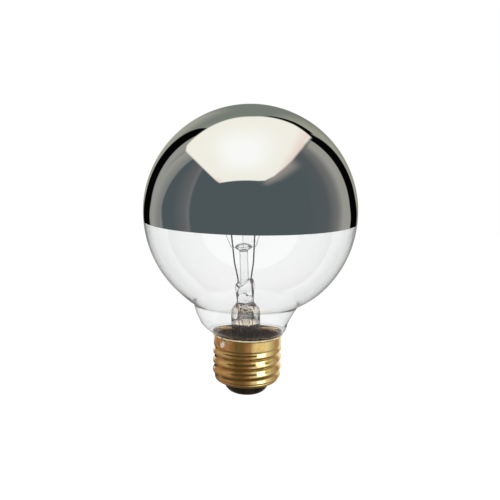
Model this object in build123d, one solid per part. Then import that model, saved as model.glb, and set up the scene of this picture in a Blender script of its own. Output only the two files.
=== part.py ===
from build123d import *
import os
from math import cos, pi, radians, sin, sqrt

# Silver crown globe bulb with a medium screw cap, in millimetres.
# The origin is the tip of the centre contact, +Z runs up through the globe and -Y is the front.

# Whole bulb
globe_radius = 39.6
neck_length = 11.64
glass_wall = 0.5
coat_thickness = 0.1
silver_line_drop = 4.15
cap_height = 24.3

# Neck of the blown glass; its bends are shares of the way from the rim out and up to the mouth
neck_mouth_radius = 20.2
neck_middle_share = (0.673, 0.524)
neck_shoulder_share = (0.321, 0.12)
neck_bend_drop = 5.0
neck_end_gap = 4.8
neck_mouth_slope = (0.45, 1)
rim_gap = 1.2

# Screw shell, rolled from one sheet of brass
shell_sheet = 0.25
thread_crest_radius = 13.17
thread_depth = 0.75
thread_pitch = 3.629
thread_crest_height = 11.42
thread_top_fade = 1.9
thread_bottom_fade = 1.2
sections_per_turn = 8
collar_step = 0.17
collar_height = 3.9
lip_flare = 0.7
lip_height = 0.9
lip_slope = (1, 1.1)
shoulder_step = 0.12
shoulder_rise = 1.9
shoulder_corner_rise = 1.0
shoulder_bend = 1.0
shell_mouth_radius = 8.75
shell_mouth_height = 5.2

# Black glass insulator and the contact at its foot
insulator_seat_gap = 0.05
insulator_depth = 3.4
insulator_foot_edge = 1.7
insulator_bulge = 0.45
insulator_hole_radius = 1.35
contact_height = 1.0
contact_radius = 4.8
contact_sheet = 0.4
contact_edge_round = 0.18
eyelet_wall = 0.35
eyelet_length = 4.2
solder_radius = 2.5
solder_tip_radius = 0.8
solder_fill_height = 1.3
solder_tip_slope = (1, 0.1)
solder_edge_slope = (0.35, 1)

# Cement between the glass and the shell
cement_top_drop = 1.1
cement_foot_rise = 1.3
cement_shell_gap = 0.05
side_wire_room = 0.2

# Glass mount: flare, press, exhaust tube, rod and button
stem_lean = 3.1
flare_seal_gap = 0.1
flare_rim_height = 1.2
flare_height = 8.0
flare_slope = (1, -0.35)
stem_tube_radius = 5.5
stem_tube_wall = 0.9
stem_tube_top = 19.0
stem_dome_drop = 0.9
stem_shoulder_height = 3.0
press_height = 8.2
press_width = 7.4
press_thickness = 4.2
press_edge_round = 1.4
press_top_slant = 14.0
press_neck_width = 6.4
exhaust_radius = 1.7
exhaust_wall = 0.5
exhaust_tip_gap = 2.0
exhaust_embed = 0.6
exhaust_tip_flat = 0.17
rod_radius = 1.6
rod_length = 11.6
rod_embed = 1.0
button_radius = 3.2
button_half_height = 1.4

# Wires, given by diameter
inner_lead_diameter = 0.55
seal_wire_diameter = 0.4
outer_lead_diameter = 0.36
support_diameter = 0.25
filament_diameter = 0.5
lead_press_spacing = 5.0
lead_bend_spacing = 7.2
lead_bend_rise = 7.0
lead_top_spacing = 8.8
lead_straight_rise = 18.0
lead_embed = 1.2
lead_exit_rise = 1.0
lead_hook_length = 1.3
lead_bend = 3.0
hook_bend = 0.6
support_angles = {1: 198, 2: 270, 3: 342}
support_reach = 1.6
support_bend = 0.9
eye_clearance = 0.14
filament_ring_radius = 11.0
filament_rise = 2.4
filament_bend = 0.6

# Leads in the cap and the side contact
lead_cap_bend = 0.9
lead_under_gap = 1.5
side_angle = 227.4
side_lead_run = 5.0
side_loop_gap = 0.05
side_loop_flat = 0.035
side_wire_drop = 2.2
side_wire_under = 1.6
side_wire_foot = 1.6
side_solder_width = 1.5
side_solder_height = 2.6
side_solder_proud = 0.95
side_solder_round = 0.3

# Radii and heights that follow from the sizes above
collar_radius = thread_crest_radius - collar_step
lip_radius = collar_radius + lip_flare
thread_root_radius = thread_crest_radius - thread_depth
shoulder_radius = thread_root_radius - shoulder_step
neck_mouth_height = cap_height + neck_length
globe_height = neck_mouth_height + sqrt(globe_radius**2 - neck_mouth_radius**2)
overall_length = globe_height + globe_radius + coat_thickness
silver_line_height = globe_height - silver_line_drop
thread_top = cap_height - collar_height
thread_mean_radius = thread_crest_radius - thread_depth / 2
thread_swing = thread_depth / 2
neck_entry_radius = lip_radius - shell_sheet - rim_gap
neck_tube_radius = thread_root_radius - shell_sheet - outer_lead_diameter - side_wire_room
shoulder_height = shell_mouth_height + shoulder_rise
insulator_top_height = shell_mouth_height + insulator_depth
insulator_foot_radius = contact_radius + insulator_foot_edge
insulator_foot_height = contact_height + contact_sheet
neck_end_height = insulator_top_height + neck_end_gap
exhaust_tip_height = insulator_top_height + exhaust_tip_gap
seal_height = neck_end_height + flare_rim_height / 2
tube_top_height = seal_height + stem_tube_top
stem_dome_height = tube_top_height - stem_dome_drop
press_foot_height = tube_top_height + stem_shoulder_height
press_top_height = press_foot_height + press_height
button_height = press_top_height + rod_length + button_half_height
filament_height = globe_height + filament_rise
loop_radius = shell_sheet / 2 + outer_lead_diameter / 2 + side_loop_gap


def turned(*edges):
    """Solid turned about Z from a closed outline whose points are radius and height."""
    return revolve(Plane.XZ * make_face(Curve() + list(edges)), Axis.Z)


def drawn_wire(points, diameter, bend=None):
    """Round wire along straight runs, joined by arcs where a bend radius is given."""
    path = FilletPolyline(*points, radius=bend) if bend else Line(*points)
    start = Plane(path @ 0, z_dir=path % 0)
    return sweep(start * Circle(diameter / 2), path)


def around(radius, angle, height):
    """Point at a radius and an angle about Z."""
    return Vector(radius * cos(radians(angle)), radius * sin(radians(angle)), height)


def leaned(shape):
    """The glass mount leans a little to the left about the seal in the neck."""
    return shape.rotate(Axis((0, 0, seal_height), (0, 1, 0)), -stem_lean)


def eased(share):
    """Smooth step from 0 to 1."""
    share = max(0.0, min(1.0, share))
    return share * share * (3 - 2 * share)


# Blown glass
def glass_body(inset):
    """Solid inside the globe and neck, drawn in from the outer face by an inset."""
    radius = globe_radius - inset
    mouth_radius = neck_mouth_radius - inset
    mouth_height = globe_height - sqrt(radius**2 - mouth_radius**2)
    end = (neck_tube_radius - inset, neck_end_height)
    bend = (neck_tube_radius - inset, cap_height - neck_bend_drop)
    entry = (neck_entry_radius - inset, cap_height)
    shoulder, middle = (
        (
            neck_entry_radius - inset + outward * (neck_mouth_radius - neck_entry_radius),
            cap_height + upward * neck_length,
        )
        for outward, upward in (neck_shoulder_share, neck_middle_share)
    )
    mouth = (mouth_radius, mouth_height)
    top = (0, globe_height + radius)
    neck = Spline(bend, entry, shoulder, middle, mouth, tangents=[(0, 1), neck_mouth_slope])
    belly_drop = (globe_height - mouth_height + silver_line_drop) / 2
    belly = (sqrt(radius**2 - belly_drop**2), globe_height - belly_drop)
    line = (sqrt(radius**2 - silver_line_drop**2), silver_line_height)
    lower = ThreePointArc(mouth, belly, line)
    crown = ThreePointArc(line, (radius, globe_height), top)
    foot = (0, neck_end_height)
    return turned(Line(foot, end), Line(end, bend), neck, lower, crown, Line(top, foot))


def glass_bulb():
    return glass_body(0) - glass_body(glass_wall)


def silver_crown():
    """Mirror coat over the crown, down to the silver line."""
    coat_radius = globe_radius + coat_thickness
    inner_edge = (sqrt(globe_radius**2 - silver_line_drop**2), silver_line_height)
    outer_edge = (sqrt(coat_radius**2 - silver_line_drop**2), silver_line_height)
    inner_top = (0, globe_height + globe_radius)
    outer_top = (0, overall_length)
    return turned(
        Line(inner_edge, outer_edge),
        ThreePointArc(outer_edge, (coat_radius, globe_height), outer_top),
        Line(outer_top, inner_top),
        ThreePointArc(inner_top, (globe_radius, globe_height), inner_edge),
    )


# Cap
def thread_core(inset):
    """Solid inside the rolled thread: circles whose centres wind up round the axis."""
    length = thread_top - shoulder_height
    count = round(length / thread_pitch * sections_per_turn)
    sections = []
    for step in range(count + 1):
        height = shoulder_height + length * step / count
        into_top = eased((thread_top - height) / thread_top_fade)
        into_bottom = eased((height - shoulder_height) / thread_bottom_fade)
        radius = thread_mean_radius - inset
        radius += (collar_radius - thread_mean_radius) * (1 - into_top)
        radius += (shoulder_radius - thread_mean_radius) * (1 - into_bottom)
        swing = thread_swing * into_top * into_bottom
        turn = 2 * pi * (height - thread_crest_height) / thread_pitch
        sections.append(Pos(swing * cos(turn), swing * sin(turn), height) * Circle(radius))
    return loft(sections)


def collar_outline(inset):
    """Straight collar and flared lip, drawn in by an inset."""
    foot = (collar_radius - inset, thread_top)
    waist = (collar_radius - inset, cap_height - lip_height)
    lip = (lip_radius - inset, cap_height)
    return Line(foot, waist), Spline(waist, lip, tangents=[(0, 1), lip_slope])


def shoulder_outline(inset):
    """Rounded shoulder under the thread and the flat that runs in to the shell's mouth."""
    mouth = (shell_mouth_radius, shell_mouth_height + inset)
    corner = (shoulder_radius - inset, shell_mouth_height + shoulder_corner_rise + inset)
    top = (shoulder_radius - inset, shoulder_height)
    return FilletPolyline(mouth, corner, top, radius=shoulder_bend - inset)


def ring_between(outer, inner):
    """Turned ring between two outlines that run the same way."""
    closing = [Line(outer[0] @ 0, inner[0] @ 0), Line(outer[-1] @ 1, inner[-1] @ 1)]
    return turned(*outer, *inner, *closing)


def screw_shell(side_wire):
    """Rolled shell, with a small dent in its lip where the side wire crosses it."""
    thread = thread_core(0) - thread_core(shell_sheet)
    collar = ring_between(collar_outline(0), collar_outline(shell_sheet))
    shoulder = ring_between([shoulder_outline(0)], [shoulder_outline(shell_sheet)])
    return thread + collar + shoulder - side_wire


def base_insulator():
    """Black glass poured into the foot of the shell, with a bowl-shaped face below it."""
    seat = shell_sheet + insulator_seat_gap
    top_radius = shoulder_radius - seat
    throat_radius = shell_mouth_radius - insulator_seat_gap
    throat_top = (throat_radius, shell_mouth_height + seat)
    throat = (throat_radius, shell_mouth_height)
    foot = (insulator_foot_radius, insulator_foot_height)
    hole_foot = (insulator_hole_radius, insulator_foot_height)
    hole_top = (insulator_hole_radius, insulator_top_height)
    rim = (top_radius, insulator_top_height)
    middle = ((throat[0] + foot[0]) / 2 + insulator_bulge, (throat[1] + foot[1]) / 2 - insulator_bulge)
    seated = shoulder_outline(seat)
    return turned(
        Line(hole_foot, foot),
        ThreePointArc(foot, middle, throat),
        Line(throat, throat_top),
        Line(throat_top, seated @ 0),
        seated,
        Line(seated @ 1, rim),
        Line(rim, hole_top),
        Line(hole_top, hole_foot),
    )


def centre_contact():
    """Brass disc with a rounded edge and a short eyelet up through the insulator."""
    disc = Pos(0, 0, contact_height) * extrude(Circle(contact_radius), contact_sheet)
    disc = fillet(disc.edges().group_by(Axis.Z)[0], contact_edge_round)
    eyelet = Pos(0, 0, contact_height) * extrude(Circle(insulator_hole_radius), eyelet_length)
    bore = Pos(0, 0, contact_height) * extrude(Circle(insulator_hole_radius - eyelet_wall), eyelet_length)
    return disc + eyelet - bore


def centre_solder():
    """Solder button under the contact, worn flat at its tip, and its plug in the eyelet."""
    bore_radius = insulator_hole_radius - eyelet_wall
    fill_top = contact_height + solder_fill_height
    tip = (solder_tip_radius, 0)
    edge = (solder_radius, contact_height)
    bore_foot = (bore_radius, contact_height)
    bore_top = (bore_radius, fill_top)
    return turned(
        Line((0, 0), tip),
        Spline(tip, edge, tangents=[solder_tip_slope, solder_edge_slope]),
        Line(edge, bore_foot),
        Line(bore_foot, bore_top),
        Line(bore_top, (0, fill_top)),
        Line((0, fill_top), (0, 0)),
    )


def base_cement(side_wire):
    """Cement that holds the glass neck in the collar, with the side wire bedded in it."""
    top = cap_height - cement_top_drop
    foot = neck_end_height + cement_foot_rise
    collar_fill = Pos(0, 0, thread_top) * extrude(Circle(collar_radius - shell_sheet), top - thread_top)
    thread_fill_radius = thread_root_radius - shell_sheet - cement_shell_gap
    thread_fill = Pos(0, 0, foot) * extrude(Circle(thread_fill_radius), thread_top - foot)
    return collar_fill + thread_fill - glass_body(0) - side_wire


# Glass mount, drawn upright
def stem_flare(bedded):
    """Flare and stem tube, closed at the top by the press that grips the pieces bedded in it."""
    rim_radius = neck_tube_radius - glass_wall - flare_seal_gap
    inner_radius = stem_tube_radius - stem_tube_wall
    rim_foot = seal_height - flare_rim_height / 2
    rim_top = seal_height + flare_rim_height / 2
    neck_height = seal_height + flare_height
    outer_neck = (stem_tube_radius, neck_height)
    inner_neck = (inner_radius, neck_height)
    outer_top = (stem_tube_radius, tube_top_height)
    inner_top = (inner_radius, stem_dome_height - stem_shoulder_height)
    dome = (0, stem_dome_height)
    tube = turned(
        Line((rim_radius, rim_foot), (rim_radius, rim_top)),
        Spline(outer_neck, (rim_radius, rim_top), tangents=[(0, -1), flare_slope]),
        Line(outer_neck, outer_top),
        Line(outer_top, (0, tube_top_height)),
        Line((0, tube_top_height), dome),
        Spline(dome, inner_top, tangents=[(1, 0), (0, -1)]),
        Line(inner_top, inner_neck),
        Spline(inner_neck, (rim_radius - stem_tube_wall, rim_foot), tangents=[(0, -1), flare_slope]),
        Line((rim_radius - stem_tube_wall, rim_foot), (rim_radius, rim_foot)),
    )
    foot_section = Pos(0, 0, tube_top_height) * Circle(stem_tube_radius)
    neck_section = Pos(0, 0, press_foot_height) * RectangleRounded(
        press_neck_width, press_thickness, press_edge_round
    )
    top_section = Pos(0, 0, press_top_height + press_width / 2) * RectangleRounded(
        press_width, press_thickness, press_edge_round
    )
    press = loft([foot_section, neck_section], ruled=True) + loft([neck_section, top_section])
    block = 4 * press_width
    lift = block / 2 / cos(radians(press_top_slant))
    press -= Pos(0, 0, press_top_height + lift) * Rot(0, -press_top_slant, 0) * Box(block, block, block)
    stem = tube + press
    for piece in bedded:
        stem -= piece
    return stem


def exhaust_body():
    """Outer form of the exhaust tube, rounded where it was tipped off inside the cap."""
    length = stem_dome_height + exhaust_embed - exhaust_tip_height
    body = Pos(0, 0, exhaust_tip_height) * extrude(Circle(exhaust_radius), length)
    return fillet(body.edges().group_by(Axis.Z)[0], exhaust_radius - exhaust_tip_flat)


def exhaust_tube():
    """Tube left from pumping the bulb out."""
    foot = exhaust_tip_height + exhaust_radius
    length = stem_dome_height + exhaust_embed - foot
    return exhaust_body() - Pos(0, 0, foot) * extrude(Circle(exhaust_radius - exhaust_wall), length)


def rod_body():
    """Straight stretch of the glass rod, melted into the press at its foot."""
    foot = press_top_height - rod_embed
    return Pos(0, 0, foot) * extrude(Circle(rod_radius), button_height - foot)


def button_rod(supports):
    """Glass rod, ending in the flattened button that grips the supports."""
    flat = button_half_height / button_radius
    rod = rod_body() + Pos(0, 0, button_height) * scale(Sphere(button_radius), (1, 1, flat))
    for wire in supports:
        rod -= wire
    return rod


def filament_corner(number):
    """Corner of the filament's route at one support."""
    return around(filament_ring_radius, support_angles[number], filament_height)


def lead_points(side):
    """Centre line of an inner lead, from inside the press to its hook; side is -1 or 1."""
    tip = Vector(side * lead_top_spacing / 2, 0, filament_height)
    towards_filament = (filament_corner(1 if side < 0 else 3) - tip).normalized()
    return [
        Vector(side * lead_press_spacing / 2, 0, press_top_height - lead_embed),
        Vector(side * lead_press_spacing / 2, 0, press_top_height + lead_exit_rise),
        Vector(side * lead_bend_spacing / 2, 0, press_top_height + lead_bend_rise),
        Vector(side * lead_top_spacing / 2, 0, press_top_height + lead_straight_rise),
        tip,
        tip + towards_filament * lead_hook_length,
    ]


def inner_lead(side):
    bends = [lead_bend, lead_bend, lead_bend, hook_bend]
    return drawn_wire(lead_points(side), inner_lead_diameter, bends)


def seal_wire(side):
    """Sealing wire in the press, between an inner and an outer lead."""
    x = side * lead_press_spacing / 2
    foot = press_foot_height + lead_embed
    return drawn_wire([(x, 0, foot), (x, 0, press_top_height - lead_embed)], seal_wire_diameter)


def filament_points():
    """Corners of the filament's route, from hook to hook through the eyes of the supports."""
    return [lead_points(-1)[-1], *map(filament_corner, support_angles), lead_points(1)[-1]]


def support_wire(number):
    """Support: out of the button, up to the filament, and round it in an eye."""
    before, corner, after = filament_points()[number - 1 : number + 2]
    back = (before - corner).normalized()
    onward = (after - corner).normalized()
    inward = (back + onward).normalized()
    half_opening = radians(inward.get_angle(onward))
    eye_centre = corner + inward * filament_bend * (1 / sin(half_opening) - 1)
    eye_radius = (filament_diameter + support_diameter) / 2 + eye_clearance
    eye_axis = (onward - back).normalized()
    elbow = around(button_radius + support_reach, support_angles[number], button_height)
    rise = eye_centre - elbow
    upward = (rise - eye_axis * rise.dot(eye_axis)).normalized()
    start = around(rod_radius, support_angles[number], button_height)
    stalk = drawn_wire([start, elbow, eye_centre - upward * eye_radius], support_diameter, support_bend)
    return stalk + Plane(eye_centre, z_dir=eye_axis) * Torus(eye_radius, support_diameter / 2)


def filament():
    """Coiled filament as a round bar of its outer size, through the eyes of the supports."""
    return drawn_wire(filament_points(), filament_diameter, filament_bend)


# Leads in the cap, from the leaning press down to their contacts
def leaned_point(x, height):
    """Where the leaning mount carries a point of its upright drawing."""
    angle = radians(stem_lean)
    rise = height - seal_height
    return Vector(x * cos(angle) - rise * sin(angle), 0, seal_height + rise * cos(angle) + x * sin(angle))


def outer_lead_centre():
    """From the right of the press, under the exhaust tip and down the contact's eyelet."""
    x = lead_press_spacing / 2
    under = insulator_top_height + lead_under_gap
    points = [
        leaned_point(x, press_foot_height + lead_embed),
        leaned_point(x, seal_height),
        Vector(x, 0, under),
        Vector(0, 0, under),
        Vector(0, 0, contact_height + solder_fill_height),
    ]
    return drawn_wire(points, outer_lead_diameter, [lead_bend, lead_cap_bend, lead_cap_bend])


def side_loop():
    """Corners of the side wire's loop over the lip, from the inside down to its foot."""
    lip_middle = lip_radius - shell_sheet / 2
    over = cap_height + outer_lead_diameter / 2 + side_loop_gap
    return [
        around(lip_middle - loop_radius, side_angle, over),
        around(lip_middle + loop_radius, side_angle, over),
        around(lip_middle + loop_radius, side_angle, cap_height - side_wire_foot),
    ]


def outer_lead_side():
    """From the left of the press, up between glass and shell and over the lip to its solder."""
    x = -lead_press_spacing / 2
    bed_radius = neck_tube_radius + outer_lead_diameter / 2 + cement_shell_gap
    waist_radius = collar_radius - shell_sheet - outer_lead_diameter / 2 - side_loop_gap
    under = neck_end_height - side_wire_under
    run = [
        leaned_point(x, press_foot_height + lead_embed),
        leaned_point(x, seal_height),
        around(side_lead_run, side_angle, under),
        around(bed_radius, side_angle, under),
        around(bed_radius, side_angle, cap_height - neck_bend_drop),
        around(waist_radius, side_angle, cap_height - lip_height),
    ]
    bends = [lead_cap_bend] * (len(run) - 1) + [loop_radius - side_loop_flat] * 2
    return drawn_wire(run + side_loop(), outer_lead_diameter, bends)


def side_solder():
    """Drop of solder that joins the side wire to the outside of the collar."""
    inside = side_solder_width / 2
    outward = around(1, side_angle, 0)
    middle = around(collar_radius - inside, side_angle, cap_height - side_wire_drop)
    oval = Plane(middle, x_dir=(0, 0, 1), z_dir=outward) * SlotOverall(side_solder_height, side_solder_width)
    drop = extrude(oval, inside + side_solder_proud, dir=outward)
    drop = fillet(drop.faces().sort_by(Axis(middle, outward))[-1].edges(), side_solder_round)
    collar = Pos(0, 0, thread_top) * extrude(Circle(collar_radius), collar_height)
    foot = side_loop()[-1]
    wire = Pos(foot) * extrude(Circle(outer_lead_diameter / 2), collar_height)
    return drop - collar - wire


def build():
    """Every piece of the bulb by node name."""
    inner = {side: inner_lead(side) for side in (-1, 1)}
    seals = {side: seal_wire(side) for side in (-1, 1)}
    supports = {number: support_wire(number) for number in support_angles}
    centre_lead = outer_lead_centre()
    side_lead = outer_lead_side()
    lean_axis = Axis((0, 0, seal_height), (0, 1, 0))
    upright = [lead.rotate(lean_axis, stem_lean) for lead in (centre_lead, side_lead)]
    bedded = [*inner.values(), *seals.values(), *upright, rod_body(), exhaust_body()]
    pieces = {
        "glass_bulb": glass_bulb(),
        "silver_crown": silver_crown(),
        "screw_shell": screw_shell(side_lead),
        "base_insulator": base_insulator(),
        "centre_contact": centre_contact(),
        "centre_solder": centre_solder(),
        "base_cement": base_cement(side_lead),
        "stem_flare": leaned(stem_flare(bedded)),
        "exhaust_tube": leaned(exhaust_tube()),
        "button_rod": leaned(button_rod(supports.values())),
        "inner_lead_left": leaned(inner[-1]),
        "inner_lead_right": leaned(inner[1]),
        "seal_wire_left": leaned(seals[-1]),
        "seal_wire_right": leaned(seals[1]),
        "outer_lead_centre": centre_lead,
        "outer_lead_side": side_lead,
        "filament": leaned(filament()),
        "side_solder": side_solder(),
    }
    for number, wire in supports.items():
        pieces[f"support_wire_{number}"] = leaned(wire)
    return pieces


os.makedirs("parts", exist_ok=True)
for name, shape in build().items():
    export_step(shape, f"parts/{name}.step")
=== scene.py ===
from math import atan2, cos, degrees, pi, radians, sin, sqrt, tan

import bpy
import numpy as np
from mathutils import Matrix, Vector


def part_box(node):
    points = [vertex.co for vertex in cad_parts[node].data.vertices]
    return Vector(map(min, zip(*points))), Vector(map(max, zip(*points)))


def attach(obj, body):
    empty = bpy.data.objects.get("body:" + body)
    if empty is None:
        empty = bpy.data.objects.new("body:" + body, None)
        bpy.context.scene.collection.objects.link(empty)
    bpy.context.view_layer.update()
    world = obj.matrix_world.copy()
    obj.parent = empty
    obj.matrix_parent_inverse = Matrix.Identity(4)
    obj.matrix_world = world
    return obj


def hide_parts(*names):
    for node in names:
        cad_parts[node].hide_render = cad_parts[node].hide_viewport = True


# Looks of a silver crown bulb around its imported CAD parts.
# Lengths are in metres and written as millimetres times mm; angles are in degrees.
# A pair of lengths on an outline is a radius and a height.
mm = 0.001

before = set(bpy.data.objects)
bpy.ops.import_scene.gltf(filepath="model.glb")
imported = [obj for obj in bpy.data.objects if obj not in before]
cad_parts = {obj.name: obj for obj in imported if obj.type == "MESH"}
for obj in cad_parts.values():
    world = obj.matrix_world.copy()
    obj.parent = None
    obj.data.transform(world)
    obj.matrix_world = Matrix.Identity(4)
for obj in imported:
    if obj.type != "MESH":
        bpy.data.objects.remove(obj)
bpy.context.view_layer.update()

# Camera, fitted to the cap, the silver line and the outline
camera_place = (0.0, -205 * mm, 83 * mm)
camera_yaw = 0.04
camera_tilt = 7.5
camera_roll = 1.39
camera_lens = 39.38
camera_sensor = 36
camera_nearest = 0.01

# Sizes that the looks share with the CAD parts
glass_low, glass_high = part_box("glass_bulb")
shell_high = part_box("screw_shell")[1]
crown_low, crown_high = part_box("silver_crown")
globe_radius = glass_high.x
globe_height = glass_high.z - globe_radius
glass_wall = 0.5 * mm
coat_thickness = crown_high.x - globe_radius
coat_gap = coat_thickness / 5
silver_line = crown_low.z
cap_height = shell_high.z
lip_radius = shell_high.x
lip_bead = 0.3 * mm
neck_end = glass_low.z
neck_tube_radius = 11.61 * mm
neck_bend_height = cap_height - 5.0 * mm
neck_entry_radius = 12.25 * mm
neck_middle = (17.6 * mm, 30.4 * mm)
neck_shoulder = (14.8 * mm, 25.7 * mm)
neck_mouth_radius = 20.2 * mm
neck_crease = 0.2 * mm
slump = 1.4 * mm
slump_rise = 4.5 * mm
slump_fade_start = 31 * mm
slump_fade_end = 41 * mm
silver_line_tilt = 2.7
silver_line_roll = 0.47
silver_line_raise = 1.65 * mm
coat_taper = 12
cap_brown_fade = 1.5 * mm

# Glass mount, upright and before its lean about the seal
stem_lean = 3.1
seal_height = 14.0 * mm
flare_radius = 11.0 * mm
flare_rim = 1.2 * mm
tube_radius = 5.5 * mm
tube_wall = 0.9 * mm
flare_top = 22.0 * mm
tube_top = 33.0 * mm
dome_height = 32.1 * mm
dome_start = 29.6 * mm
press_foot = 36.0 * mm
press_top = 44.2 * mm
press_slant = 14
press_wide = 3.7 * mm
press_narrow = 3.25 * mm
press_deep = 2.15 * mm
rod_radius = 1.6 * mm
button_radius = 3.2 * mm
button_half_height = 1.4 * mm
button_start = -50
button_height = 57.2 * mm

# Dents of the press: place across and up, slope, length, width and push, a share of the depth
pinch_marks = [
    (0.2 * mm, 43.1 * mm, 0.5, 2.0 * mm, 0.5 * mm, -0.6),
    (-1.7 * mm, 41.6 * mm, 0.6, 1.2 * mm, 0.5 * mm, -0.45),
    (1.2 * mm, 43.4 * mm, 0.3, 1.6 * mm, 0.4 * mm, 0.22),
    (-0.6 * mm, 39.4 * mm, 0.3, 1.5 * mm, 0.4 * mm, -0.5),
    (1.2 * mm, 37.2 * mm, -0.2, 1.4 * mm, 0.7 * mm, 0.45),
    (-0.8 * mm, 35.0 * mm, 0.35, 2.6 * mm, 0.4 * mm, -0.25),
]

# Exhaust tube, part of the same melted piece
exhaust_radius = 1.7 * mm
exhaust_wall = 0.5 * mm
exhaust_tip = 10.6 * mm

# Coil on the supports
coil_radius = 0.21 * mm
coil_wire = 0.07 * mm
coil_pitch = 0.16 * mm
coil_height = 72.4 * mm
coil_ring_radius = 11.0 * mm
coil_angles = (198, 270, 342)
lead_tip_half_spacing = 4.4 * mm
lead_hook = 1.3 * mm

# How finely round things are cut
ring_points = 160
line_points = 10
globe_rings = 96
crown_points = 256
crown_rings = 119
mount_points = 64
mount_step = 0.35 * mm
coil_points = 9
bead_points = 12
button_rings = 24
card_points = 96
card_rings = 5
sharp_angle = 50
shortest_radius = 1e-7


# Shapes
def eased(share):
    """Smooth step from 0 to 1."""
    share = np.clip(share, 0.0, 1.0)
    return share * share * (3 - 2 * share)


def curve_mesh(curve):
    """Mesh of a curve, which is then removed."""
    holder = bpy.data.objects.new(curve.name, curve)
    mesh = bpy.data.meshes.new_from_object(holder)
    bpy.data.objects.remove(holder)
    bpy.data.curves.remove(curve)
    return mesh


def smooth_line(*points):
    """Smooth line through a few points of an outline."""
    curve = bpy.data.curves.new("outline", "CURVE")
    curve.resolution_u = line_points
    spline = curve.splines.new("BEZIER")
    spline.bezier_points.add(len(points) - 1)
    for knot, (radius, height) in zip(spline.bezier_points, points):
        knot.co = (radius, 0, height)
        knot.handle_left_type = "AUTO"
        knot.handle_right_type = "AUTO"
    line = curve_mesh(curve)
    found = [(vertex.co.x, vertex.co.z) for vertex in line.vertices]
    bpy.data.meshes.remove(line)
    return found


def arc(centre_height, radius, start, end, count):
    """Round stretch about a centre on the axis, from one elevation to another."""
    angles = np.radians(np.linspace(start, end, count))
    return [(radius * cos(angle), centre_height + radius * sin(angle)) for angle in angles]


def turned(outline, count=ring_points):
    """Rings of an outline turned about Z."""
    turns = np.linspace(0, 2 * pi, count, endpoint=False)
    rings = []
    for radius, height in outline:
        if radius < shortest_radius:
            rings.append(np.array([[0.0, 0.0, height]]))
        else:
            heights = np.full(count, height)
            rings.append(np.column_stack([radius * np.cos(turns), radius * np.sin(turns), heights]))
    return rings


def skin(name, shells, body="root"):
    """Smooth piece over one or more runs of rings; a run's faces look outward where it runs up.
    It rides on its body, or on nothing where none is given."""
    points = []
    faces = []
    for rings in shells:
        starts = []
        for ring in rings:
            starts.append(len(points))
            points.extend(map(tuple, ring))
        for low, high, a, b in zip(rings, rings[1:], starts, starts[1:]):
            count = max(len(low), len(high))
            for step in range(count):
                after = (step + 1) % count
                if len(low) == 1:
                    faces.append((a, b + after, b + step))
                elif len(high) == 1:
                    faces.append((a + step, a + after, b))
                else:
                    faces.append((a + step, a + after, b + after, b + step))
    mesh = bpy.data.meshes.new(name)
    mesh.from_pydata(points, [], faces)
    mesh.shade_smooth()
    mesh.set_sharp_from_angle(angle=radians(sharp_angle))
    piece = bpy.data.objects.new(name, mesh)
    bpy.context.scene.collection.objects.link(piece)
    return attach(piece, body) if body else piece


def lean(points):
    """Leans points of the upright mount to the left about the seal."""
    angle = radians(stem_lean)
    rise = points[:, 2] - seal_height
    return np.column_stack([
        points[:, 0] * cos(angle) - rise * sin(angle),
        points[:, 1],
        seal_height + rise * cos(angle) + points[:, 0] * sin(angle),
    ])


# Blown glass and its silver
def glass_outline(inset):
    """Outline of the neck and globe from the neck's end to the top, drawn in by an inset."""
    radius = globe_radius - inset
    mouth_radius = neck_mouth_radius - inset
    mouth_height = globe_height - sqrt(radius**2 - mouth_radius**2)
    mouth_angle = -degrees(atan2(globe_height - mouth_height, mouth_radius))
    neck = smooth_line(
        (neck_tube_radius - inset, neck_end),
        (neck_tube_radius - inset, neck_bend_height),
        (neck_entry_radius - inset, cap_height),
        (neck_shoulder[0] - inset, neck_shoulder[1]),
        (neck_middle[0] - inset, neck_middle[1]),
        (mouth_radius - (neck_crease if inset else 0), mouth_height),
    )
    globe = arc(globe_height, radius, mouth_angle, 90, globe_rings)
    return neck[:-1] + globe[:-1] + [(0.0, globe_height + radius)]


def slumped(ring):
    """Moves a ring of the glass to the left where the blown neck sags between cap and globe."""
    height = ring[0, 2]
    risen = eased((height - cap_height) / slump_rise)
    faded = eased((height - slump_fade_start) / (slump_fade_end - slump_fade_start))
    return ring - np.array([slump * risen * (1 - faded), 0, 0])


def make_glass():
    """Globe and neck as one thin blown wall."""
    outer = glass_outline(0)
    inner = glass_outline(glass_wall)
    piece = skin("globe_glass", [[slumped(ring) for ring in turned(inner[::-1] + outer)]])
    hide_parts("glass_bulb")
    return piece


def make_crown():
    """Mirror coat over the crown, which thins out to a slightly tilted silver line."""
    turns = np.linspace(0, 2 * pi, crown_points, endpoint=False)
    inside = globe_radius + coat_gap
    tilt = tan(radians(silver_line_tilt)) * np.sin(turns) + tan(radians(silver_line_roll)) * np.cos(turns)
    line = silver_line + silver_line_raise + globe_radius * tilt
    starts = np.arcsin((line - globe_height) / inside)
    shares = np.linspace(0, 1, crown_rings, endpoint=False)

    def rings(thickness):
        made = []
        for share in shares:
            angles = starts + (pi / 2 - starts) * share
            radius = inside + thickness * eased((angles - starts) / radians(coat_taper))
            flat = radius * np.cos(angles)
            made.append(np.column_stack([
                flat * np.cos(turns), flat * np.sin(turns), globe_height + radius * np.sin(angles),
            ]))
        made.append(np.array([[0.0, 0.0, globe_height + inside + thickness]]))
        return made

    inner = rings(0)
    outer = rings(coat_thickness - coat_gap)
    piece = skin("crown_coat", [inner[::-1] + outer[1:]])
    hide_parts("silver_crown")
    return piece


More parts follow.
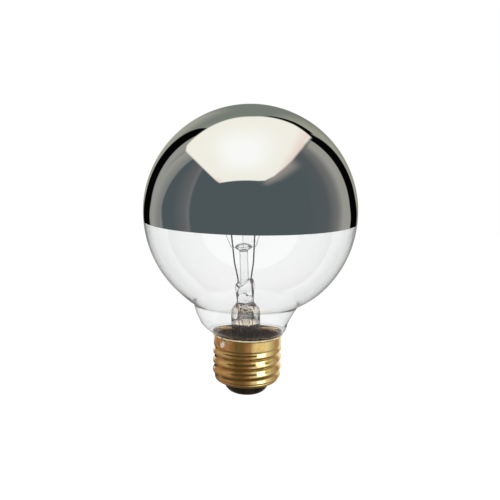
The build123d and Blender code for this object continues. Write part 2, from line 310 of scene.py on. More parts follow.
def make_lip_bead():
    """Rolled bead that finishes the lip of the cap."""
    rings = []
    for angle in np.radians(np.linspace(0, 360, bead_points + 1)):
        radius = lip_radius - lip_bead + lip_bead * cos(angle)
        rings += turned([(radius, cap_height + lip_bead * sin(angle))])
    piece = skin("lip_bead", [rings])
    return piece


# Glass mount: stem, press, rod and button are one melted piece
def section(height, half_width, half_depth, squareness, tilt):
    """Ring of the mount, raised on the right by its tilt: round at squareness 2, and oblong above it."""
    turns = np.linspace(0, 2 * pi, mount_points, endpoint=False)
    power = 2 / squareness
    across = half_width * np.sign(np.cos(turns)) * np.abs(np.cos(turns)) ** power
    deep = half_depth * np.sign(np.sin(turns)) * np.abs(np.sin(turns)) ** power
    return np.column_stack([across, deep, height + tilt * across])


def mount_rings():
    """Rings of the mount's outer skin up to the button, eased between a few stations.
    A station is a height, half a width, half a depth, a squareness and a tilt."""
    slant = tan(radians(press_slant))
    stations = [
        (seal_height + flare_rim / 2, flare_radius, flare_radius, 2, 0),
        (flare_top, tube_radius, tube_radius, 2, 0),
        (tube_top - 0.6 * mm, tube_radius, tube_radius, 2, 0),
        (press_foot + 0.3 * mm, press_narrow, press_deep, 2.8, 0),
        (press_top - 1.4 * mm, press_wide, press_deep, 3.4, slant / 2),
        (press_top - 0.2 * mm, press_narrow, press_deep - 0.2 * mm, 3, slant),
        (press_top + 0.1 * mm, 2.2 * mm, 1.75 * mm, 2.4, slant),
        (press_top + 0.6 * mm, rod_radius, rod_radius, 2, slant / 2),
        (press_top + 2.0 * mm, rod_radius, rod_radius, 2, 0),
        (button_height - 1.25 * mm, rod_radius, rod_radius, 2, 0),
    ]
    rings = []
    for low, high in zip(stations, stations[1:]):
        steps = max(4, round((high[0] - low[0]) / mount_step))
        for step in range(steps):
            share = step / steps
            blend = eased(share)
            height = low[0] + (high[0] - low[0]) * share
            sizes = [a + (b - a) * blend for a, b in zip(low[1:], high[1:])]
            rings.append(section(height, *sizes))
    return rings


def pinched(ring):
    """Moves the faces of the press in and out where the hot glass was pinched."""
    across, deep, height = ring.T
    push = np.zeros(len(ring))
    for x, z, slope, length, width, depth in pinch_marks:
        along = (across - x) / length
        off = (height - z - slope * (across - x)) / width
        push += depth * np.exp(-along**2 - off**2)
    return np.column_stack([across, deep * (1 + push), height])


def mount_bore():
    """Outline of the inside: up the stem tube from its rim, and down the exhaust tube to its tip."""
    bore_radius = tube_radius - tube_wall
    bore = smooth_line(
        (flare_radius - tube_wall, seal_height - flare_rim / 2),
        (bore_radius + 1.4 * mm, flare_top - 3.5 * mm),
        (bore_radius, flare_top),
        (bore_radius, dome_start - 3 * mm),
        (bore_radius, dome_start),
        (bore_radius * 0.72, dome_height - 0.5 * mm),
        (exhaust_radius + 0.5 * mm, dome_height),
        (exhaust_radius, dome_height - 0.6 * mm),
        (exhaust_radius, exhaust_tip + 3 * mm),
        (exhaust_radius * 0.95, exhaust_tip + 1 * mm),
        (exhaust_radius * 0.5, exhaust_tip + 0.15 * mm),
    )
    return bore + [(0.0, exhaust_tip)]


def exhaust_hollow():
    """Outline of the space sealed inside the exhaust tube, from the top down."""
    radius = exhaust_radius - exhaust_wall
    side = smooth_line(
        (radius * 0.6, dome_height + 1.2 * mm),
        (radius, dome_height + 0.2 * mm),
        (radius, exhaust_tip + 3 * mm),
        (radius * 0.5, exhaust_tip + 1.7 * mm),
    )
    return [(0.0, dome_height + 1.5 * mm)] + side + [(0.0, exhaust_tip + 1.5 * mm)]


def make_mount():
    """Stem, press, rod and button, with the bore of the stem and the exhaust tube in it."""
    button = [
        (button_radius * cos(angle), button_height + button_half_height * sin(angle))
        for angle in np.radians(np.linspace(button_start, 90, button_rings))
    ]
    body = [pinched(ring) for ring in mount_rings()]
    outside = body + turned(button[:-1] + [(0, button[-1][1])], mount_points)
    rim = turned([(flare_radius, seal_height - flare_rim / 2)], mount_points)
    inside = turned(mount_bore()[::-1], mount_points)
    hollow = turned(exhaust_hollow(), mount_points)
    shells = [[lean(ring) for ring in shell] for shell in (inside + rim + outside, hollow)]
    piece = skin("mount_glass", shells)
    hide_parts("stem_flare", "button_rod", "exhaust_tube")
    return piece


def coil_route():
    """Corners of the filament, from one lead's hook through the eyes of the supports to the other."""
    corners = [
        Vector((coil_ring_radius * cos(angle), coil_ring_radius * sin(angle), coil_height))
        for angle in map(radians, coil_angles)
    ]
    tips = []
    for side, corner in ((-1, corners[0]), (1, corners[-1])):
        tip = Vector((side * lead_tip_half_spacing, 0, coil_height))
        tips.append(tip + (corner - tip).normalized() * lead_hook)
    return [tips[0], *corners, tips[1]]


def coil_places():
    """Points of the coiled wire along its route, leaning with the mount."""
    route = coil_route()
    points = []
    travelled = 0.0
    for start, end in zip(route, route[1:]):
        along = (end - start).normalized()
        side = along.cross(Vector((0, 0, 1)))
        length = (end - start).length
        steps = round(length / coil_pitch * coil_points)
        for step in range(steps):
            distance = length * step / steps
            turn = 2 * pi * (travelled + distance) / coil_pitch
            swing = side * cos(turn) + Vector((0, 0, 1)) * sin(turn)
            points.append(start + along * distance + swing * coil_radius)
        travelled += length
    return lean(np.array(points))


def make_coil():
    """Coiled filament as a fine round wire."""
    places = coil_places()
    curve = bpy.data.curves.new("filament_coil", "CURVE")
    curve.dimensions = "3D"
    curve.bevel_depth = coil_wire / 2
    curve.bevel_resolution = 1
    curve.resolution_u = 1
    spline = curve.splines.new("POLY")
    spline.points.add(len(places) - 1)
    spline.points.foreach_set("co", np.column_stack([places, np.ones(len(places))]).ravel())
    piece = bpy.data.objects.new("filament_coil", curve_mesh(curve))
    bpy.context.scene.collection.objects.link(piece)
    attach(piece, "root")
    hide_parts("filament")
    return piece


# Shader nodes
# A ray that has been through more glass surfaces than this comes from the thick of the mount.
most_glass_walls = 4


class Nodes:
    """Short ways to add nodes to a shader tree."""

    def __init__(self, tree):
        self.tree = tree

    def node(self, kind, **settings):
        made = self.tree.nodes.new(kind)
        for word, value in settings.items():
            setattr(made, word, value)
        return made

    def link(self, source, target):
        self.tree.links.new(source, target)

    def put(self, value, socket):
        """Sets a socket to a number or a colour, or links it to another socket."""
        if isinstance(value, tuple):
            socket.default_value = (*value, 1)
        elif isinstance(value, (int, float)):
            socket.default_value = value
        else:
            self.link(value, socket)

    def math(self, operation, *values):
        """One step of arithmetic on sockets or numbers."""
        made = self.node("ShaderNodeMath", operation=operation)
        for socket, value in zip(made.inputs, values):
            self.put(value, socket)
        return made.outputs[0]

    def product(self, first, *others):
        for other in others:
            first = self.math("MULTIPLY", first, other)
        return first

    def edge(self, value, start, end):
        """0 before the start and 1 after the end, smooth between; the end may lie below the start."""
        made = self.node("ShaderNodeMapRange", interpolation_type="SMOOTHSTEP", clamp=True)
        made.inputs["From Min"].default_value = min(start, end)
        made.inputs["From Max"].default_value = max(start, end)
        made.inputs["To Min"].default_value = 0.0 if start < end else 1.0
        made.inputs["To Max"].default_value = 1.0 if start < end else 0.0
        self.link(value, made.inputs["Value"])
        return made.outputs["Result"]

    def span(self, value, start, end, soft):
        """1 between the start and the end and 0 outside them, with soft ends."""
        begun = self.edge(value, start - soft, start + soft)
        return self.product(begun, self.edge(value, end + soft, end - soft))

    def ramp(self, source, *stops):
        """Colours or greys along a source, each stop a place and a value."""
        made = self.node("ShaderNodeValToRGB")
        elements = made.color_ramp.elements
        while len(elements) < len(stops):
            elements.new(0.5)
        for element, (place, value) in zip(elements, stops):
            element.position = place
            element.color = (*value, 1) if isinstance(value, tuple) else (value, value, value, 1)
        self.link(source, made.inputs["Fac"])
        return made.outputs["Color"]

    def mix(self, share, below, above):
        """The first colour where the share is 0, and the second where it is 1."""
        made = self.node("ShaderNodeMix", data_type="RGBA")
        for socket, value in zip((made.inputs[0], made.inputs[6], made.inputs[7]), (share, below, above)):
            self.put(value, socket)
        return made.outputs[2]

    def mix_shaders(self, share, below, above):
        """The first shader where the share is 0, and the second where it is 1."""
        made = self.node("ShaderNodeMixShader")
        for socket, value in zip(made.inputs, (share, below, above)):
            self.put(value, socket)
        return made.outputs[0]

    def emission(self, colour, strength=1.0):
        made = self.node("ShaderNodeEmission")
        self.put(colour, made.inputs["Color"])
        self.put(strength, made.inputs["Strength"])
        return made.outputs[0]

    def surface(self, shader):
        """Makes a shader the surface of a material whose tree was bare."""
        self.link(shader, self.node("ShaderNodeOutputMaterial").inputs["Surface"])

    def separate(self, vector):
        parts = self.node("ShaderNodeSeparateXYZ")
        self.link(vector, parts.inputs[0])
        return parts.outputs

    def mirrored(self):
        """1 for a ray that a surface has mirrored, unless it comes from the thick of the mount."""
        path = self.node("ShaderNodeLightPath").outputs
        return self.product(
            self.math("GREATER_THAN", path["Glossy Depth"], 0.5),
            self.math("LESS_THAN", path["Transmission Depth"], most_glass_walls + 0.5),
        )

    def inside(self):
        """1 for a ray that has been through glass."""
        path = self.node("ShaderNodeLightPath").outputs
        return self.math("GREATER_THAN", path["Transmission Depth"], 0.5)

    def bearing(self, x, y):
        """Degrees to the right of the front."""
        return self.product(self.math("ARCTAN2", x, self.product(y, -1.0)), 180 / pi)

    def around(self, bearing, *stops):
        """Colours round the bulb, each stop degrees to the right of the front and a value."""
        share = self.math("MULTIPLY_ADD", bearing, 1 / 360, 0.5)
        return self.ramp(share, *((angle / 360 + 0.5, value) for angle, value in stops))


class Finish(Nodes):
    """Material with one principled shader, whose constants sit on the shader's own sockets."""

    def __init__(self, name, **constants):
        self.material = bpy.data.materials.new(name)
        self.material.use_nodes = True
        super().__init__(self.material.node_tree)
        self.shader = self.tree.nodes["Principled BSDF"]
        for word, value in constants.items():
            self.shader.inputs[word.replace("_", " ")].default_value = value
        self.place = self.node("ShaderNodeTexCoord").outputs["Object"]

    def stretched(self, factors):
        """Place in the bulb, stretched along each axis."""
        mapping = self.node("ShaderNodeMapping")
        mapping.inputs["Scale"].default_value = factors
        self.link(self.place, mapping.inputs["Vector"])
        return mapping.outputs["Vector"]

    def noise(self, scale, detail=3, factors=None):
        """Noise whose scale is in features per metre."""
        made = self.node("ShaderNodeTexNoise")
        made.inputs["Scale"].default_value = scale
        made.inputs["Detail"].default_value = detail
        self.link(self.stretched(factors) if factors else self.place, made.inputs["Vector"])
        return made.outputs["Fac"]

    def height(self):
        """Height above the tip of the contact."""
        return self.separate(self.place)[2]

    def facing(self):
        """0 where the surface faces the view and 1 where it turns away."""
        return self.node("ShaderNodeLayerWeight").outputs["Facing"]

    def colour(self, source):
        self.link(source, self.shader.inputs["Base Color"])

    def roughness(self, source):
        self.link(source, self.shader.inputs["Roughness"])

    def bump(self, source, height, strength=1.0):
        """Relief of a real height, which may follow a bump already set."""
        made = self.node("ShaderNodeBump")
        made.inputs["Distance"].default_value = height
        made.inputs["Strength"].default_value = strength
        self.link(source, made.inputs["Height"])
        normal = self.shader.inputs["Normal"]
        if normal.is_linked:
            self.link(normal.links[0].from_socket, made.inputs["Normal"])
        self.link(made.outputs["Normal"], normal)


def bare_material(name):
    """Material with an empty tree, and the short ways to fill it."""
    material = bpy.data.materials.new(name)
    material.use_nodes = True
    nodes = Nodes(material.node_tree)
    nodes.tree.nodes.clear()
    return material, nodes


def clear_glass():
    """Blown glass: clear with a faint uneven tint, and brown inside the cap."""
    finish = Finish("clear_glass", Transmission_Weight=1.0, Roughness=0.0, IOR=1.52)
    clear = finish.ramp(finish.noise(40), (0.3, (0.98, 0.988, 0.987)), (0.7, (1.0, 1.0, 1.0)))
    in_cap = finish.edge(finish.height(), cap_height, cap_height - cap_brown_fade)
    finish.colour(finish.mix(in_cap, clear, (0.85, 0.6, 0.4)))
    return finish.material


def mount_glass_finish():
    """Thicker lead glass: tinted warm at the stem as a painted reflection of the brass and cement, dark
    where it turns away, rippled by flame and press.
    """
    finish = Finish("lead_glass", Transmission_Weight=1.0, Roughness=0.0, IOR=1.55)
    clear = finish.ramp(finish.noise(300), (0.3, (0.93, 0.94, 0.96)), (0.7, (0.99, 0.99, 0.99)))
    # Painted reflection: the stem is tinted warm for the brass and cement seen through it
    clear = finish.mix(finish.edge(finish.height(), press_foot, dome_start), clear, (0.98, 0.93, 0.85))
    finish.colour(finish.mix(finish.edge(finish.facing(), 0.2, 0.7), clear, (0.16, 0.165, 0.18)))
    finish.bump(finish.noise(450, 1), 0.05 * mm)
    return finish.material


def crown_mirror():
    """Silver that the smooth glass keeps free of any blur."""
    finish = Finish("crown_silver", Metallic=1.0, Roughness=0.0)
    finish.colour(finish.ramp(finish.noise(60), (0.3, (0.93, 0.94, 0.935)), (0.7, (0.95, 0.955, 0.95))))
    return finish.material


def cap_brass():
    """Rolled brass with faint tarnish, draw lines round the cap and shallow dents."""
    finish = Finish("rolled_brass", Metallic=1.0)
    finish.colour(finish.ramp(
        finish.noise(220, 4),
        (0.3, (0.72, 0.48, 0.18)), (0.5, (0.84, 0.64, 0.27)), (0.75, (0.9, 0.72, 0.34)),
    ))
    finish.roughness(finish.ramp(finish.noise(400, 4), (0.3, 0.08), (0.7, 0.18)))
    finish.bump(finish.noise(1, 4, (120, 120, 6000)), 0.01 * mm, 0.5)
    finish.bump(finish.noise(420, 2), 0.15 * mm, 0.7)
    return finish.material


def lip_wear_and_highlight():
    """Lip of the cap, pale cream: partly wear where it was crimped and handled, and partly a painted
    highlight of the rolled edge.
    """
    finish = Finish("lip_wear_and_highlight", Metallic=0.3)
    # Painted highlight: the pale cream stands in partly for the light that the rolled edge catches
    finish.colour(finish.ramp(finish.noise(400, 4), (0.35, (0.72, 0.55, 0.3)), (0.6, (0.95, 0.86, 0.64))))
    finish.roughness(finish.ramp(finish.noise(900, 3), (0.3, 0.2), (0.7, 0.4)))
    finish.bump(finish.noise(900, 3), 0.02 * mm)
    return finish.material


def contact_brass():
    """Pressed disc, duller than the cap."""
    finish = Finish("contact_brass", Metallic=1.0)
    finish.colour(finish.ramp(finish.noise(500, 4), (0.3, (0.6, 0.44, 0.24)), (0.7, (0.8, 0.62, 0.36))))
    finish.roughness(finish.ramp(finish.noise(900, 4), (0.3, 0.22), (0.7, 0.4)))
    finish.bump(finish.noise(900, 3), 0.02 * mm)
    return finish.material


def black_glass():
    """Insulator, black with brownish clouds."""
    finish = Finish("black_glass", Specular_IOR_Level=0.3)
    clouds = finish.noise(300, 4)
    finish.colour(finish.ramp(clouds, (0.35, (0.004, 0.004, 0.004)), (0.7, (0.02, 0.015, 0.008))))
    finish.roughness(finish.ramp(finish.noise(700, 3), (0.3, 0.12), (0.7, 0.3)))
    finish.bump(finish.noise(600, 3), 0.05 * mm)
    return finish.material


def tin_solder():
    """Dull lumpy solder."""
    finish = Finish("tin_solder", Metallic=0.4)
    finish.colour(finish.ramp(finish.noise(900, 4), (0.3, (0.55, 0.5, 0.42)), (0.6, (0.9, 0.85, 0.7))))
    finish.roughness(finish.ramp(finish.noise(1500, 3), (0.3, 0.25), (0.7, 0.5)))
    finish.bump(finish.noise(1200, 3), 0.08 * mm)
    return finish.material


def baked_cement():
    """Brown cement with a painted golden sheen, made metallic so that it mirrors the studio in place of
    the light that the glass keeps from it.
    """
    finish = Finish("baked_cement", Metallic=0.9, Roughness=0.4)
    # Painted sheen: the pale golden stops stand in for light and brass shine on the cement
    finish.colour(finish.ramp(
        finish.noise(260, 5),
        (0.35, (0.35, 0.13, 0.06)), (0.5, (0.8, 0.42, 0.2)), (0.65, (1.0, 0.75, 0.45)),
    ))
    finish.bump(finish.noise(900, 4), 0.1 * mm)
    return finish.material


def drawn_metal(name, dark, bright, metallic=1.0):
    """Drawn wire with an uneven oxide and fine draw marks."""
    finish = Finish(name, Metallic=metallic)
    finish.colour(finish.ramp(finish.noise(700, 4), (0.3, dark), (0.7, bright)))
    finish.roughness(finish.ramp(finish.noise(1500, 3), (0.3, 0.2), (0.7, 0.4)))
    finish.bump(finish.noise(1, 3, (4000, 4000, 300)), 0.01 * mm)
    return finish.material


def dress(piece, material):
    """Gives a piece one material in every slot."""
    if not piece.data.materials:
        piece.data.materials.append(material)
    for slot in piece.material_slots:
        slot.link = "OBJECT"
        slot.material = material


# Studio
def seen(red, green, blue):
    """Linear colour of a tone that a display shows as these levels from 0 to 255."""
    return tuple(
        level / 255 / 12.92 if level < 10.3 else ((level / 255 + 0.055) / 1.055) ** 2.4
        for level in (red, green, blue)
    )


# Below, a rise is the slope of a ray above the level, and a bearing is in degrees to the right of
# the front. An edge is a start and an end, and a span is a start, an end and how soft both are.
slate = seen(78, 88, 91)
dim_wall = seen(99, 100, 101)
near_wall = seen(126, 129, 127)
side_wall = seen(154, 153, 147)
back_wall = seen(121, 127, 119)
back_glow = seen(165, 163, 152)
flag_black = seen(5, 5, 6)
softbox_white = (1.0, 1.0, 0.98)
softbox_peach = seen(238, 220, 208)
softbox_cream = seen(246, 243, 232)
table_dark = seen(92, 84, 78)
table_deep = (0.1, 0.065, 0.035)
room_low = seen(190, 192, 192)
room_high = seen(208, 212, 212)
fill_low = (0.75, 0.75, 0.74)
fill_high = (1.1, 1.1, 1.1)

# Walls: tones by bearing, the glow low behind, the white backdrop and the leaning left wall
wall_tones = [
    (-180, back_wall), (-148, back_wall), (-120, side_wall), (-104, near_wall), (-102, slate),
    (-86, slate), (-70, dim_wall), (-65, seen(112, 112, 113)), (-63, slate),
    (60, slate), (86, seen(86, 91, 93)), (91, dim_wall), (101, seen(115, 115, 113)),
    (111, side_wall), (150, seen(159, 158, 143)), (166, back_wall), (180, back_wall),
]
glow_bearings = (-168, -145, 6)
glow_rise = (1.1, 0.3)
backdrop_y = (0.93, 0.97)
backdrop_rise = (0.36, 0.28)
left_wall_lean = 18.0
left_wall_bearings = (-122, -104)
left_wall_soft = 1.2
left_wall_x = (0.0, -0.01)

# Two black flags behind, at unit distance and on each side of a middle
flag_middle = 0.04
flag_lean = 0.1
flag_bow = 0.07
flag_inner_edge = (0.63, 0.67)
flag_outer_edge = (1.45, 1.37)
flag_foot = 0.17
flag_foot_rise = (0.06, -0.12)
flag_bottom_rise = (-0.3, -0.16)
flag_y = (0.0, 0.05)

# Table
table_rise = (-0.26, -0.5)
table_deep_z = (-0.75, -0.95)
table_back_y = (0.35, 0.6)

# Softbox overhead in a level plane of unit height: its corners, its far edge, which slopes on the
# right, and where its light is bright, peach or cream
softbox_corners = [
    (-1.12, 0.4), (-1.02, 0.53), (0.4, 0.69), (0.79, 0.71), (0.73, -0.38), (0.67, -0.7), (0.56, -1.07),
    (0.38, -1.34), (0.2, -1.39), (-0.99, -1.37), (-1.03, -1.2),
]
softbox_far = 0.53
softbox_far_slope = 0.34
softbox_rim = (0.04, -0.03)
bright_x = (-0.55, 0.25, 0.3)
bright_y = (-0.9, 0.0, 0.35)
peach_right_x = (0.52, 0.74)
peach_corner_x = (-0.75, -1.0)
peach_corner_y = (-0.9, -1.3)
cream_rim = (-0.06, 0.0)
cream_y = (0.2, 0.4)
above_z = (0.0, 0.05)

# In the same plane: a thin black rod along the far right edge, and a warm spill past the near one
rod_slope = 0.36
rod_width = (0.03, -0.01)
rod_x = (0.15, 0.8, 0.06)
rod_y = (0.1, 0.2)
spill_share = 0.3
spill_reach = (0.4, 0.0)
spill_x = (0.2, 0.6)
spill_y = (-0.2, -0.6)

# Plain light and plain room
fill_z = (-1.0, 1.0)
room_z = (-0.6, 0.4)
least_divisor = 0.001

# Ring of low cards round the cap
ring_radius = 60 * mm
ring_top = 45 * mm
ring_bottom = -40 * mm
ring_mouth = (44 * mm, 56 * mm)
card_white = (4.0, 3.9, 3.8)
card_bright = (0.88, 0.88, 0.82)
card_shade = (0.17, 0.13, 0.085)
card_top = (0.09, 0.07, 0.045)
card_warm = (0.42, 0.27, 0.23)
card_khaki = (0.5, 0.45, 0.36)
card_pale = (0.5, 0.48, 0.42)
card_black = (0.01, 0.01, 0.01)
card_tones = [
    (-180, card_black), (-140, card_black), (-124, card_warm), (-60, card_warm), (-36, card_shade),
    (-12, card_shade), (8, card_warm), (26, card_bright), (62, card_bright), (88, card_pale),
    (112, card_warm), (128, card_bright), (158, card_bright), (174, card_black),
]
khaki_bearings = (-128, -56, 10)
khaki_z = (20 * mm, 32 * mm)
foot_z = (-5 * mm, -25 * mm)
back_card_y = (35 * mm, 45 * mm)
back_card_z = (0.0, 8 * mm)
top_z = (ring_top - 4 * mm, ring_top + 2 * mm)
white_bearings = (32, 56, 4)
white_z = (10 * mm, 15 * mm)

# Floor, below any view of the held bulb
floor_height = -230 * mm
floor_half = 3.0
floor_colour = (0.9, 0.9, 0.9)
floor_glow = 1.06
floor_glow_share = 0.8

# Lamp, for the shading of the dull pieces
lamp_place = (-0.1, -0.25, 0.9)
lamp_target = (0, 0, 0.05)
lamp_size = 0.8
lamp_power = 3


class Sky(Nodes):
    """World nodes that work on the direction of a ray."""

    def __init__(self):
        world = bpy.data.worlds.new("studio")
        world.use_nodes = True
        world.cycles.sampling_method = "NONE"
        bpy.context.scene.world = world
        super().__init__(world.node_tree)
        self.tree.nodes.clear()
        self.x, self.y, self.z = self.separate(self.node("ShaderNodeTexCoord").outputs["Generated"])
        level = self.math("SQRT", self.math("SUBTRACT", 1.0, self.product(self.z, self.z)))
        self.rise = self.math("DIVIDE", self.z, level)
        self.turn = self.bearing(self.x, self.y)


def walls(sky):
    """Grey walls with a glow low behind, a white backdrop and a left wall that leans to the camera."""
    tone = sky.around(sky.turn, *wall_tones)
    low_back = sky.mix(sky.edge(sky.rise, *glow_rise), back_wall, back_glow)
    tone = sky.mix(sky.span(sky.turn, *glow_bearings), tone, low_back)
    backdrop = sky.product(sky.edge(sky.y, *backdrop_y), sky.edge(sky.rise, *backdrop_rise))
    tone = sky.mix(backdrop, tone, softbox_white)
    leaning = sky.math("MULTIPLY_ADD", sky.rise, -left_wall_lean, sky.turn)
    far, near = left_wall_bearings
    on_wall = sky.product(sky.span(leaning, far, near, left_wall_soft), sky.edge(sky.x, *left_wall_x))
    shade = sky.ramp(sky.edge(leaning, near, far), (0.0, near_wall), (1.0, side_wall))
    return sky.mix(on_wall, tone, shade)


def flags(sky):
    """1 on two black flags that lean apart as they rise and reach inwards at the foot."""
    back = sky.math("MAXIMUM", sky.y, least_divisor)
    across = sky.math("ABSOLUTE", sky.math("SUBTRACT", sky.math("DIVIDE", sky.x, back), flag_middle))
    up = sky.math("DIVIDE", sky.math("MAXIMUM", sky.z, 0.0), back)
    across = sky.math("ADD", across, sky.product(sky.edge(sky.rise, *flag_foot_rise), flag_foot))
    lean_apart = sky.product(up, sky.math("MULTIPLY_ADD", up, flag_bow, flag_lean))
    return sky.product(
        sky.edge(sky.math("SUBTRACT", across, lean_apart), *flag_inner_edge),
        sky.edge(across, *flag_outer_edge),
        sky.edge(sky.y, *flag_y),
        sky.edge(sky.rise, *flag_bottom_rise),
    )


def table(sky):
    """Dark table, darkest straight below and paler at the back."""
    tone = sky.mix(sky.edge(sky.z, *table_deep_z), table_dark, table_deep)
    return sky.mix(sky.edge(sky.y, *table_back_y), tone, side_wall)


def outside_softbox(sky, over_x, over_y):
    """Distance outside the nearest edge of the softbox, less than 0 inside it."""
    far = sky.math("MULTIPLY_ADD", sky.math("MAXIMUM", over_x, 0.0), -softbox_far_slope, over_y)
    outside = sky.math("SUBTRACT", far, softbox_far)
    for (x0, y0), (x1, y1) in zip(softbox_corners, softbox_corners[1:] + softbox_corners[:1]):
        length = sqrt((x1 - x0) ** 2 + (y1 - y0) ** 2)
        away_x = (y0 - y1) / length
        away_y = (x1 - x0) / length
        distance = sky.math("MULTIPLY_ADD", over_x, away_x, -(x0 * away_x + y0 * away_y))
        distance = sky.math("MULTIPLY_ADD", over_y, away_y, distance)
        outside = sky.math("MAXIMUM", outside, distance)
    return outside


def softbox_glow(sky, over_x, over_y, outside):
    """Light of the softbox: white in the middle, cream round it, peach on the right and in one corner."""
    middle = sky.product(sky.span(over_x, *bright_x), sky.span(over_y, *bright_y))
    glow = sky.mix(middle, softbox_cream, softbox_white)
    corner = sky.product(sky.edge(over_x, *peach_corner_x), sky.edge(over_y, *peach_corner_y))
    glow = sky.mix(sky.math("MAXIMUM", sky.edge(over_x, *peach_right_x), corner), glow, softbox_peach)
    far_rim = sky.product(sky.edge(outside, *cream_rim), sky.edge(over_y, *cream_y))
    return sky.mix(far_rim, glow, softbox_cream)


def studio_colour(sky):
    """What metal and glass mirror: softbox overhead, grey walls, two black flags and a dark table."""
    colour = sky.mix(flags(sky), walls(sky), flag_black)
    colour = sky.mix(sky.edge(sky.rise, *table_rise), colour, table(sky))
    height = sky.math("MAXIMUM", sky.z, least_divisor)
    over_x = sky.math("DIVIDE", sky.x, height)
    over_y = sky.math("DIVIDE", sky.y, height)
    outside = outside_softbox(sky, over_x, over_y)
    above = sky.edge(sky.z, *above_z)
    beyond = sky.math("MULTIPLY_ADD", over_x, -rod_slope, outside)
    rod = sky.product(sky.edge(beyond, *rod_width), sky.span(over_x, *rod_x), sky.edge(sky.y, *rod_y))
    colour = sky.mix(sky.product(rod, above), colour, flag_black)
    spill = sky.product(
        sky.edge(outside, *spill_reach), sky.edge(over_x, *spill_x), sky.edge(over_y, *spill_y),
    )
    colour = sky.mix(sky.product(spill, spill_share, above), colour, softbox_peach)
    glow = softbox_glow(sky, over_x, over_y, outside)
    return sky.mix(sky.product(sky.edge(outside, *softbox_rim), above), colour, glow)


def make_world():
    """White to the camera and straight through glass, and plain light for dull surfaces.
    Mirrored rays see the studio, or a plain room where they have been through glass."""
    sky = Sky()
    path = sky.node("ShaderNodeLightPath").outputs
    diffused = sky.math("GREATER_THAN", path["Diffuse Depth"], 0.5)
    mirrored = sky.mirrored()
    bounced = sky.math("MAXIMUM", diffused, mirrored)
    straight = sky.math("MULTIPLY", path["Is Transmission Ray"], sky.math("SUBTRACT", 1.0, bounced))
    open_view = sky.math("MAXIMUM", path["Is Camera Ray"], straight)
    plain = sky.ramp(sky.edge(sky.z, *fill_z), (0.0, fill_low), (1.0, fill_high))
    room = sky.ramp(sky.edge(sky.z, *room_z), (0.0, room_low), (1.0, room_high))
    studio = sky.mix(sky.inside(), studio_colour(sky), room)
    lit = sky.mix(sky.math("SUBTRACT", mirrored, diffused), plain, studio)
    background = sky.node("ShaderNodeBackground")
    sky.link(sky.mix(open_view, lit, (1.0, 1.0, 1.0)), background.inputs["Color"])
    output = sky.node("ShaderNodeOutputWorld")
    sky.link(background.outputs[0], output.inputs["Surface"])


def floor_material():
    """Pale floor, nearly white by its own glow, which shows the room's tone to mirrored rays."""
    material, nodes = bare_material("pale_floor")
    matt = nodes.node("ShaderNodeBsdfDiffuse")
    nodes.put(floor_colour, matt.inputs["Color"])
    glow = nodes.emission((1.0, 1.0, 1.0), floor_glow)
    pale = nodes.mix_shaders(floor_glow_share, matt.outputs[0], glow)
    nodes.surface(nodes.mix_shaders(nodes.mirrored(), pale, nodes.emission(room_low)))
    return material


def make_floor():
    """Plain floor that keeps a soft shadow."""
    mesh = bpy.data.meshes.new("floor")
    corners = [(-1, -1), (1, -1), (1, 1), (-1, 1)]
    points = [(x * floor_half, y * floor_half, floor_height) for x, y in corners]
    mesh.from_pydata(points, [], [(0, 1, 2, 3)])
    mesh.materials.append(floor_material())
    floor = bpy.data.objects.new("floor", mesh)
    bpy.context.scene.collection.objects.link(floor)
    floor.visible_glossy = False


def card_tone(nodes):
    """Tones of the low cards: shade front left, a white card front right, khaki high on the left,
    white behind, dimmer at the foot and dark along the top."""
    x, y, z = nodes.separate(nodes.node("ShaderNodeTexCoord").outputs["Object"])
    bearing = nodes.bearing(x, y)
    tone = nodes.around(bearing, *card_tones)
    khaki = nodes.product(nodes.span(bearing, *khaki_bearings), nodes.edge(z, *khaki_z))
    tone = nodes.mix(khaki, tone, card_khaki)
    tone = nodes.mix(nodes.edge(z, *foot_z), tone, nodes.mix(0.5, tone, card_shade))
    behind = nodes.product(nodes.edge(y, *back_card_y), nodes.edge(z, *back_card_z))
    tone = nodes.mix(behind, tone, softbox_white)
    tone = nodes.mix(nodes.edge(z, *top_z), tone, card_top)
    white = nodes.product(nodes.span(bearing, *white_bearings), nodes.edge(z, *white_z))
    return nodes.mix(white, tone, card_white)


def make_low_cards():
    """Low cards that only brass and other rough surfaces mirror: to rays in glass, and to those that
    the smooth crown or glass mirrors, they are clear."""
    heights = np.linspace(ring_top, ring_bottom, card_rings)
    rings = turned([ring_mouth] + [(ring_radius, height) for height in heights], card_points)
    cards = skin("low_cards", [rings], None)
    material, nodes = bare_material("low_cards")
    singular = nodes.node("ShaderNodeLightPath").outputs["Is Singular Ray"]
    clear = nodes.node("ShaderNodeBsdfTransparent").outputs[0]
    passed = nodes.math("MAXIMUM", nodes.inside(), singular)
    nodes.surface(nodes.mix_shaders(passed, nodes.emission(card_tone(nodes)), clear))
    cards.data.materials.append(material)
    cards.visible_camera = False
    cards.visible_diffuse = False
    cards.visible_transmission = False
    cards.visible_shadow = False


def make_lamp():
    """Soft lamp overhead."""
    light = bpy.data.lights.new("softbox", "AREA")
    light.shape = "DISK"
    light.size = lamp_size
    light.energy = lamp_power
    lamp = bpy.data.objects.new("softbox", light)
    lamp.location = lamp_place
    lamp.rotation_euler = (Vector(lamp_target) - lamp.location).to_track_quat("-Z", "Y").to_euler()
    lamp.visible_glossy = False
    lamp.visible_camera = False
    bpy.context.scene.collection.objects.link(lamp)


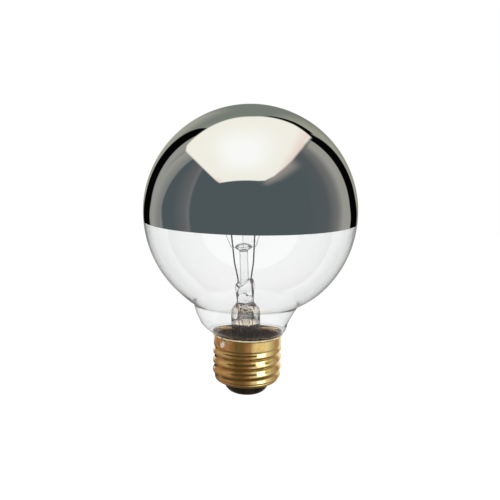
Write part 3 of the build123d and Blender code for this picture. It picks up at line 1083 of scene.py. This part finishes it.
def make_camera():
    """Camera from its place, yaw, tilt and roll."""
    yaw, tilt, roll = map(radians, (camera_yaw, camera_tilt, camera_roll))
    forward = Vector((sin(yaw) * cos(tilt), cos(yaw) * cos(tilt), -sin(tilt)))
    level = forward.cross(Vector((0, 0, 1))).normalized()
    upward = level.cross(forward)
    right = level * cos(roll) + upward * sin(roll)
    top = upward * cos(roll) - level * sin(roll)
    data = bpy.data.cameras.new("camera")
    data.lens = camera_lens
    data.sensor_width = camera_sensor
    data.clip_start = camera_nearest
    camera = bpy.data.objects.new("camera", data)
    turn = Matrix((right, top, -forward)).transposed().to_4x4()
    camera.matrix_world = Matrix.Translation(camera_place) @ turn
    bpy.context.scene.collection.objects.link(camera)
    bpy.context.scene.camera = camera


make_camera()
make_world()
make_floor()
make_low_cards()
make_lamp()
bpy.context.scene.view_settings.view_transform = "Standard"

dress(make_glass(), clear_glass())
dress(make_crown(), crown_mirror())
dress(make_lip_bead(), lip_wear_and_highlight())
dress(make_mount(), mount_glass_finish())
dress(make_coil(), drawn_metal("tungsten_coil", (0.12, 0.12, 0.13), (0.3, 0.3, 0.32)))

nickel = drawn_metal("nickel_wire", (0.06, 0.055, 0.05), (0.3, 0.28, 0.25))
copper = drawn_metal("copper_wire", (0.4, 0.2, 0.12), (0.75, 0.42, 0.27))
sealed = drawn_metal("sealing_wire", (0.05, 0.035, 0.04), (0.2, 0.15, 0.15))
support = drawn_metal("support_wire", (0.8, 0.8, 0.8), (0.95, 0.95, 0.95), metallic=0.2)
solder = tin_solder()
finishes = {
    "screw_shell": cap_brass(),
    "centre_contact": contact_brass(),
    "base_insulator": black_glass(),
    "centre_solder": solder,
    "side_solder": solder,
    "base_cement": baked_cement(),
    "inner_lead_left": nickel,
    "inner_lead_right": nickel,
    "seal_wire_left": sealed,
    "seal_wire_right": sealed,
    "outer_lead_centre": copper,
    "outer_lead_side": copper,
    "support_wire_1": support,
    "support_wire_2": support,
    "support_wire_3": support,
}
for node, material in finishes.items():
    dress(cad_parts[node], material)
